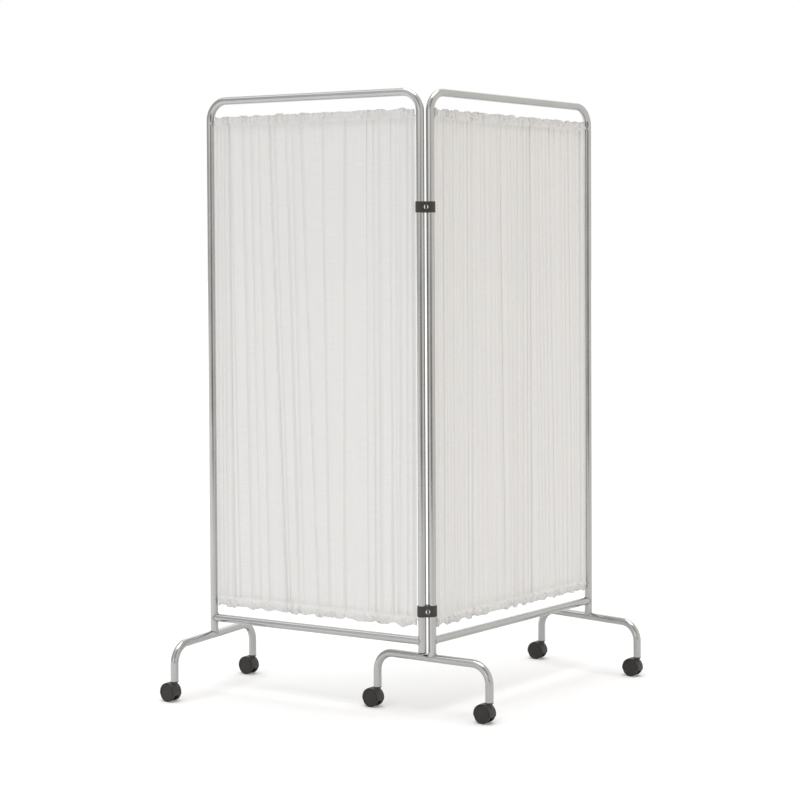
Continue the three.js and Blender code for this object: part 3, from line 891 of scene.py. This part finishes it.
def sag(out, flat_place, lowered, patchy, rows, seed, sag_depth, fine_depth):
    """Adds soft sags between the folds, and fine gathers that fade away from the wires."""
    height, _, puff, _ = rows
    from_wire = np.minimum(np.abs(top_wire_height - height), np.abs(height - bottom_wire_height))
    near_wire = np.exp(-np.maximum(from_wire - near_wire_start, 0) / near_wire_fade)
    broad = waves(flat_place, seed, *sag_waves)
    broad_low = waves(flat_place, seed + 1, *sag_waves)
    middling = waves(flat_place, seed + 2, *middling_waves)
    fine_top = waves(flat_place, seed + 3, *gather_waves)
    fine_low = waves(flat_place, seed + 4, *gather_waves)
    fine_hang = waves(flat_place, seed + 5, *hanging_waves)
    bow = np.sin(math.pi * lowered).clip(0, 1) ** sag_roundness
    out = out + sag_depth * bow * (broad * (1 - lowered) + broad_low * lowered)
    middling_level = middling_share + (1 - middling_share) * near_wire
    out = out + middling_depth * middling * middling_level * (1 - puff)
    out = out + fine_depth * fine_hang * (1 - near_wire)
    gathers = fine_top * (1 - lowered) + fine_low * lowered
    return out + gather_depth * near_wire * patchy * gathers * (1 - pocket_calm_share * puff)


def puff_pockets(along, out, flat_place, patchy, rows, width, seed):
    """Puffs the pockets out round their wires between short creases, and waves their edges.

    Returns the places across, the distances out and the heights.
    """
    height, stand, puff, end = rows
    facing = np.sign(stand)
    rise = np.where(end >= 0, height - top_wire_height, bottom_wire_height - height)
    back_puffs = puffs(flat_place, rise, seed + 7)
    front_puffs = puffs(flat_place, rise, seed + 8)
    puffed = np.where(facing < 0, back_puffs, front_puffs)
    puffed = np.where(end < 0, np.roll(puffed, len(flat_place) // 3, axis=1), puffed)
    crease_place = flat_place + (facing < 0) * back_crease_shift
    crumple = crumples(crease_place, rise, seed + 9, *crumple_creases)
    from_end = np.clip(np.minimum(along, width - along) / end_taper, 0, 1)
    end_level = end_stand_share + (1 - end_stand_share) * from_end ** end_roundness
    swollen = stand * (1 + puff * patchy * (puff_swell * puffed - puff_slack)) * end_level
    out = out + swollen + facing * crumple_depth * crumple * puff * patchy

    # The edges rise and fall with the puffs, and the stitches that close the pockets waver
    edge = np.where(end < 0, bottom_lobe, top_lobe) * patchy * (puffed - 0.5)
    edge = edge + np.where(end < 0, bottom_sway, top_sway) * waves(flat_place, seed + 15, *sway_waves)
    edge = edge + hem_wave_depth * waves(flat_place, seed + 11, *hem_waves)
    at_edge = np.clip((rise - edge_start) / edge_fade, 0, 1) * (puff > 0)
    rise = rise + edge * at_edge
    at_stitches = np.abs(rise + stitch_drop) < stitch_reach
    rise = rise + stitch_wave_depth * waves(flat_place, seed + 12, *stitch_waves) * at_stitches
    tall = np.where(end >= 0, top_wire_height + rise, bottom_wire_height - rise)
    tall = np.where(end == 0, height, tall)
    along = along + pucker_depth * waves(flat_place, seed + 13, *pucker_waves) * puff
    lift = crumple_lift * crumples(flat_place, rise, seed + 14, *lift_creases)
    return along, out, tall + lift * puff * (end != 0)


def curtain(side, folds, front, seed, sag_depth, fine_depth):
    body, inner, outer = panels[side]
    width = panel_width - cloth_inner_gap - cloth_outer_gap
    rows = cloth_rows()
    along, out, flat_place, lowered = hang_folds(folds, width, rows)
    patches = np.clip(waves(flat_place, seed + 6, *patch_waves) + 0.5, 0, 1)
    patchy = least_patch_share + (1 - least_patch_share) * patches
    out = sag(out, flat_place, lowered, patchy, rows, seed, sag_depth, fine_depth)
    along, out, tall = puff_pockets(along, out, flat_place, patchy, rows, width, seed)

    # A grid takes the shape: its columns run down the cloth and its rows across it
    row_count, column_count = along.shape
    bm = bmesh.new()
    bmesh.ops.create_grid(bm, x_segments=column_count - 1, y_segments=row_count - 1, size=0.5)
    mesh = bpy.data.meshes.new(side + "_voile")
    bm.to_mesh(mesh)
    bm.free()
    places = np.empty(len(mesh.vertices) * 3)
    mesh.vertices.foreach_get("co", places)
    places = places.reshape(-1, 3)
    column = np.rint((places[:, 0] + 0.5) * (column_count - 1)).astype(int)
    row = np.rint((0.5 - places[:, 1]) * (row_count - 1)).astype(int)

    panel_along = (outer - inner).normalized()
    panel_out = up.cross(panel_along) * front
    across = cloth_inner_gap + np.clip(along, 0, width)[row, column]
    standing = out[row, column]
    placed = np.empty_like(places)
    for axis in range(2):
        placed[:, axis] = inner[axis] + across * panel_along[axis] + standing * panel_out[axis]
    placed[:, 2] = tall[row, column]
    mesh.vertices.foreach_set("co", placed.ravel())

    height, stand, _, _ = rows
    steps_down = np.hypot(np.diff(height[:, 0]), np.diff(stand[:, 0]))
    down_cloth = np.concatenate([[0], np.cumsum(steps_down)])
    corner_vertex = np.empty(len(mesh.loops), dtype=np.int32)
    mesh.loops.foreach_get("vertex_index", corner_vertex)
    flat_map = np.stack([flat_place[column], down_cloth[row]], axis=1)[corner_vertex]
    mesh.uv_layers.new(name="flat_cloth").data.foreach_set("uv", flat_map.ravel())
    mesh.shade_smooth()
    mesh.materials.append(voile)
    mesh.update()
    cloth = link_new(side + "_voile", mesh)
    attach(cloth, body)
    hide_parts(side + "_curtain")


curtain("left", left_fold_shares, 1, 11, 0.0010, 0.00013)
curtain("right", right_fold_shares, -1, 53, 0.0008, 0.00016)


# Clamp hinges
def hinge_half(sign):
    """A half shell round both uprights, on the +Y side, or mirrored to the -Y side."""
    spacing = (right_inner - left_inner).length
    half = spacing / 2
    bm = bmesh.new()
    lip = [bm.verts.new((-half - reach, hinge_split, 0)) for reach in (hinge_groove, hinge_outer)]
    edges = [bm.edges.new(lip)]
    edges = swing(bm, edges, (-half, 0, 0), (0, 0, 1), -math.pi / 2, hinge_bend_steps)
    for _ in range(hinge_groove_steps):
        edges = push(bm, edges, Vector((spacing / hinge_groove_steps, 0, 0)))
        inside = min(verts_of(edges), key=lambda vert: vert.co.y)
        from_tube = abs(abs(inside.co.x) - half)
        depth = math.sqrt(max(hinge_groove ** 2 - from_tube ** 2, 0))
        inside.co.y = max(depth, hinge_split)
    swing(bm, edges, (half, 0, 0), (0, 0, 1), -math.pi / 2, hinge_bend_steps)
    bmesh.ops.remove_doubles(bm, verts=bm.verts, dist=1e-7)
    thicken(bm, (0, 0, hinge_block_height))
    bmesh.ops.translate(bm, verts=bm.verts, vec=(0, 0, -hinge_block_height / 2))
    face_outwards(bm)
    outside = {
        vert for vert in bm.verts
        if math.hypot(max(abs(vert.co.x) - half, 0), vert.co.y) > hinge_outer - 1e-5
    }
    rim = [edge for edge in sharp_edges(bm, 60) if all(vert in outside for vert in edge.verts)]
    soften(bm, rim, hinge_edge, 3)
    recess = turned([
        (0, 0), (bolt_recess_radius, 0), (bolt_recess_radius, cutter_depth), (0, cutter_depth),
    ], recess_sides)
    moved(recess, Matrix.Translation((0, hinge_outer - bolt_recess, 0)) @ tip_back)
    bm = carved(bm, recess)
    if sign < 0:
        moved(bm, Matrix.Rotation(math.pi, 4, "Z"))
    return bm


def hinge_bolt():
    """A domed bolt head with a slot across it, facing -Y."""
    seat = bolt_seat
    radius = bolt_head_radius
    head = turned([
        (0, -0.012), (0.002, -0.012), (0.002, seat), (radius - 0.0003, seat),
        (radius, seat + 0.0003), (radius, seat + 0.0008), (radius * 0.96, seat + 0.0014),
        (radius * 0.85, seat + 0.002), (radius * 0.68, seat + 0.0025),
        (radius * 0.48, seat + bolt_dome), (0, seat + bolt_dome),
    ], bolt_sides)
    slot = bmesh.new()
    across = Matrix.Diagonal((bolt_slot_width, 3 * radius, cutter_depth, 1))
    bmesh.ops.create_cube(slot, size=1, matrix=across)
    moved(slot, Matrix.Translation((0, 0, seat + bolt_dome - bolt_slot_depth + cutter_depth / 2)))
    return moved(carved(head, slot), tip_forward)


def slot_painted_shade():
    """A dark sheet in the slot of a hinge bolt: painted shade in the slot."""
    bm = bmesh.new()
    bmesh.ops.create_circle(
        bm, cap_ends=True, radius=bolt_head_radius * slot_shade_share, segments=bolt_sides)
    thicken(bm, (0, 0, slot_shade_depth))
    for side in (-1, 1):
        slice_off(bm, (side * bolt_slot_width / 2, 0, 0), (side, 0, 0))
    face_outwards(bm)
    moved(bm, Matrix.Translation((0, 0, bolt_seat + bolt_dome - bolt_slot_depth)))
    return moved(bm, tip_forward)


def hinge_nut():
    """A low cap nut, facing +Y."""
    seat = bolt_seat
    radius = bolt_head_radius
    nut = turned([
        (0, seat + 0.0028), (0.0024, seat + 0.0028), (0.0024, seat), (radius - 0.0003, seat),
        (radius, seat + 0.0003), (radius, seat + 0.0019), (radius * 0.92, seat + 0.0028),
        (radius * 0.72, seat + 0.0036), (radius * 0.4, seat + 0.004), (0, seat + 0.0041),
    ], bolt_sides)
    return moved(nut, tip_back)


hinge_middle = (right_inner + left_inner) / 2
for level, height in hinge_heights.items():
    place = Matrix.Translation(at_height(hinge_middle, height))
    for half, sign in (("front", -1), ("back", 1)):
        make_piece(
            f"{level}_clamp_{half}", moved(hinge_half(sign), place), "hinge_clips", "black_plastic",
            [f"{level}_hinge_{half}"], sharp=28)
    make_piece(
        f"{level}_clamp_bolt", moved(hinge_bolt(), place), "hinge_clips", "bright_bolt",
        [f"{level}_hinge_bolt"])
    # Painted shade: a dark sheet laid in the bolt's slot
    make_piece(
        f"{level}_clamp_slot_painted_shade", moved(slot_painted_shade(), place), "hinge_clips", "black_plastic")
    make_piece(
        f"{level}_clamp_nut", moved(hinge_nut(), place), "hinge_clips", "bright_bolt",
        [f"{level}_hinge_nut"])


# Castors
socket_profile = [
    (0.0049, flange_bottom), (0.0106, flange_bottom), (0.011, flange_bottom + 0.0004),
    (0.011, flange_top - 0.0003), (0.0107, flange_top), (0.0095, flange_top), (0.0095, 0.0895),
    (0.0049, 0.0895), (0.0049, flange_bottom),
]
stem_profile = [
    (0, 0.0333), (0.004, 0.0333), (0.004, collar_bottom), (0.0071, collar_bottom),
    (0.0075, collar_bottom + 0.0004), (0.0075, collar_bottom + 0.0012),
    (0.0071, collar_bottom + 0.0016), (0.004, collar_bottom + 0.0016), (0.004, 0.0779),
    (0.0046, 0.0789), (0.004, 0.0799), (0.003, 0.0819), (0, 0.0819),
]
# A wheel's section from its boss outwards and round the tread: radius, depth from its inner side
wheel_profile = [
    (0, 0.0107), (0.0016, 0.01065), (0.0026, 0.0104), (0.0029, 0.0100), (0.0036, 0.0099),
    (0.0042, 0.0103), (0.0072, 0.0103), (0.0076, 0.0100), (0.0120, 0.0097), (0.0150, 0.0096),
    (0.0155, 0.0100), (0.0172, 0.0101), (0.0177, 0.0096), (0.0203, 0.0096), (0.0208, 0.0103),
    (0.0222, 0.0110), (0.0236, 0.0108), (0.0245, 0.0101), (0.0249, 0.0091), (0.0250, 0.0082),
    (0.0250, 0.0018), (0.0248, 0.0007), (0.0242, 0.0), (0.0222, 0.0), (0.0220, 0.0004),
    (0.0220, 0.0078), (0.0062, 0.0078), (0.0062, 0.0), (0.0033, 0.0), (0.0033, 0.0078), (0, 0.0078),
]


def castor_hood():
    """Fender, web and fairing about a stem on the Z axis, with the wheels trailing towards -X."""
    bm = bmesh.new()
    axle = Vector((-castor_trail, 0, wheel_radius))
    fender = [
        (hood_inner, -1.0), (hood_outer - fender_edge, -1.0), (hood_outer - fender_crown, -0.94),
        (hood_outer, -0.6), (hood_outer, 0.6), (hood_outer - fender_crown, 0.94),
        (hood_outer - fender_edge, 1.0), (hood_inner, 1.0),
    ]
    section = bm.faces.new([
        bm.verts.new(axle + Vector((radius, share * hood_half_width, 0))) for radius, share in fender
    ])
    start = math.radians(hood_end_angle)
    bmesh.ops.rotate(bm, verts=section.verts, cent=axle, matrix=Matrix.Rotation(start, 3, "Y"))
    bmesh.ops.spin(
        bm, geom=[section], cent=axle, axis=(0, -1, 0), angle=math.pi + 2 * start,
        steps=fender_steps)
    face_outwards(bm)

    web = bmesh.new()
    near_side = Matrix.Translation(axle + Vector((0, hood_half_web, 0))) @ tip_forward
    bmesh.ops.create_circle(
        web, cap_ends=True, radius=hood_inner + web_overlap, segments=web_sides, matrix=near_side)
    thicken(web, (0, -2 * hood_half_web, 0))
    slice_off(web, axle - up * web_drop, (0, 0, -1))
    face_outwards(web)
    soften(web, sharp_edges(web, 50), web_edge, 2)

    # The fairing runs from a round seat under the leg down onto the fender
    fairing = bmesh.new()
    made = bmesh.ops.create_circle(
        fairing, cap_ends=True, radius=fairing_seat, segments=fairing_sides,
        matrix=Matrix.Translation(up * hood_top))
    edges = edges_of(made["verts"])
    under_fender = hood_outer - fairing_sink
    for level in range(1, fairing_levels + 1):
        share = level / fairing_levels
        edges = push(fairing, edges, Vector((0, 0, 0)))
        for vert in verts_of(edges):
            angle = math.atan2(vert.co.y, vert.co.x)
            spread_to = fairing_spread - fairing_lean * math.cos(angle)
            foot_x = spread_to * math.cos(angle) + castor_trail
            rise_squared = max(under_fender ** 2 - foot_x ** 2, fairing_least_square)
            foot_z = wheel_radius + math.sqrt(rise_squared)
            flare = (spread_to - fairing_seat - fairing_step) * share ** fairing_flare
            radius = fairing_seat + fairing_step + flare
            run = (foot_z - hood_top) * (0.5 * share + 0.5 * share ** fairing_slope)
            height = hood_top + run - fairing_drop
            vert.co = Vector((radius * math.cos(angle), radius * math.sin(angle), height))
    face_outwards(fairing)

    merged = bpy.data.meshes.new("hood_parts")
    for part in (web, fairing):
        part.to_mesh(merged)
        bm.from_mesh(merged)
        part.free()
    bpy.data.meshes.remove(merged)
    return bm


def castor_wheel(hand):
    """The wheel on the +Y side of the web for a hand of 1, or on the other side for -1."""
    bm = turned(wheel_profile, wheel_sides)
    turn = Matrix.Rotation(-hand * math.pi / 2, 4, "X")
    lift = Vector((-castor_trail, hand * (hood_half_web + wheel_side_gap), wheel_radius))
    return moved(bm, Matrix.Translation(lift) @ turn)


for name in castor_names:
    axle_heading = Vector(joints[name + "_left_wheel_spin"]["axis"])
    place = Matrix.Translation(stems[name]) @ Matrix.Rotation(
        math.atan2(axle_heading.y, axle_heading.x) - math.pi / 2, 4, "Z")
    panel_body = joints[name + "_swivel_turn"]["parent"]
    swivel = name + "_swivel"
    make_piece(
        name + "_socket_plug", moved(turned(socket_profile, socket_sides), place), panel_body,
        "black_plastic", [name + "_castor_socket"])
    make_piece(
        name + "_stem_pin", moved(turned(stem_profile, stem_sides), place), swivel, "zinc_steel",
        [name + "_castor_stem"])
    make_piece(
        name + "_wheel_hood", moved(castor_hood(), place), swivel, "black_plastic",
        [name + "_castor_hood"], sharp=30)
    for hand, label in ((1, "left"), (-1, "right")):
        make_piece(
            f"{name}_{label}_tyre", moved(castor_wheel(hand), place), f"{name}_{label}_wheel",
            "castor_wheel", [f"{name}_castor_{label}_wheel"], sharp=30)


# Studio: a white floor and a pale world
floor_front = -4.4
floor_reach = 40
floor_white = 0.88
# The floor's even glow as the camera sees it, and a painted reflection: a glow on the floor's left
# part that only shiny pieces see
floor_lift = 0.165
painted_reflection_glow = 0.22
painted_reflection_from, painted_reflection_to = -1.6, 0.2

world_level = 0.46
room_left, room_right = 0.60, 0.88
# What shiny pieces see in the room: the middle of each place, the cosines at its rim and its heart,
# how much lighter or darker it is, and whether it lies at the floor's edge or above it
mirrored_places = [
    ((-0.14, -0.99, 0.0), 0.78, 0.96, -0.55, "low"),
    ((-0.55, 0.19, 0.815), 0.955, 0.985, 1.0, "high"),
    ((-0.15, -0.80, 0.58), 0.86, 0.96, -0.5, "high"),
    ((0.28, 0.76, 0.58), 0.80, 0.97, 0.7, "high"),
    ((-0.57, -0.815, 0.1), 0.97, 0.99, 0.8, "high"),
]


def clear_rays(tree, path):
    return combine(tree, "MAXIMUM", path.outputs["Is Camera Ray"], path.outputs["Is Transmission Ray"])


def studio_floor():
    floor_mesh = bpy.data.meshes.new("studio_floor")
    bm = bmesh.new()
    bmesh.ops.create_grid(bm, x_segments=1, y_segments=1, size=floor_reach)
    bmesh.ops.translate(bm, verts=bm.verts, vec=(0, floor_reach + floor_front, 0))
    bm.to_mesh(floor_mesh)
    bm.free()
    floor = link_new("studio_floor", floor_mesh)
    material, tree, bsdf = finish_of("studio_floor", {
        "Base Color": (floor_white, floor_white, floor_white, 1), "Roughness": 1.0,
        "Specular IOR Level": 0.0, "Emission Color": (1, 1, 1, 1),
    })
    path = add_node(tree, "ShaderNodeLightPath")
    seen = clear_rays(tree, path)
    spot = add_node(tree, "ShaderNodeSeparateXYZ")
    tree.links.new(place_on(tree, "Object"), spot.inputs["Vector"])
    # Painted reflection: the floor's left part glows only in what shiny pieces mirror
    fading = spread(tree, spot.outputs["X"], painted_reflection_glow, 0.0, painted_reflection_from, painted_reflection_to)
    painted_reflection = combine(tree, "MULTIPLY", path.outputs["Is Glossy Ray"], fading)
    glow = combine(tree, "MAXIMUM", combine(tree, "MULTIPLY", seen, floor_lift), painted_reflection)
    tree.links.new(glow, bsdf.inputs["Emission Strength"])
    floor_mesh.materials.append(material)


def studio_world():
    world = bpy.data.worlds.new("studio")
    bpy.context.scene.world = world
    world.use_nodes = True
    tree = world.node_tree
    tree.nodes.clear()
    path = add_node(tree, "ShaderNodeLightPath")
    output = add_node(tree, "ShaderNodeOutputWorld")
    around = add_node(tree, "ShaderNodeTexCoord")
    split = add_node(tree, "ShaderNodeSeparateXYZ")
    tree.links.new(around.outputs["Generated"], split.inputs["Vector"])
    limits = {
        "low": spread(tree, split.outputs["Z"], 1, 0, 0.05, 0.11),
        "high": spread(tree, split.outputs["Z"], 0, 1, 0.03, 0.07),
    }
    room = spread(tree, split.outputs["X"], room_left, room_right, -1, 1)
    for direction, rim, heart, amount, limit in mirrored_places:
        facing = add_node(tree, "ShaderNodeVectorMath", {"operation": "DOT_PRODUCT"})
        facing.inputs[1].default_value = direction
        tree.links.new(around.outputs["Generated"], facing.inputs[0])
        patch = spread(tree, facing.outputs["Value"], 0, amount, rim, heart)
        room = combine(tree, "ADD", room, combine(tree, "MULTIPLY", patch, limits[limit]))
    lighter = combine(tree, "SUBTRACT", room, world_level)
    glossy = combine(tree, "MULTIPLY", path.outputs["Is Glossy Ray"], lighter)
    clear = combine(tree, "MULTIPLY", clear_rays(tree, path), 1 - world_level)
    strength = combine(tree, "ADD", combine(tree, "ADD", world_level, glossy), clear)
    background = add_node(tree, "ShaderNodeBackground", values={"Color": (1, 1, 1, 1)})
    tree.links.new(strength, background.inputs["Strength"])
    tree.links.new(background.outputs["Background"], output.inputs["Surface"])


def sun(name, towards_light, strength, width, colour):
    """A lamp far off in a direction, and its width in degrees."""
    data = bpy.data.lights.new(name, "SUN")
    data.energy = strength
    data.angle = math.radians(width)
    data.color = colour
    lamp = link_new(name, data)
    lamp.matrix_world = turn_to(towards_light)


studio_floor()
studio_world()
# A wide key overhead, a fill from the front left and a warm, very wide lamp from the front right
sun("key", (-0.04, -0.02, 1.0), 1.75, 45, (1.0, 1.0, 1.0))
sun("fill", (-0.6, -0.7, 0.4), 0.35, 70, (1.0, 0.995, 0.98))
sun("side", (0.75, -0.6, 0.25), 0.385, 115, (1.0, 0.81, 0.56))
bpy.context.scene.view_settings.view_transform = "Standard"
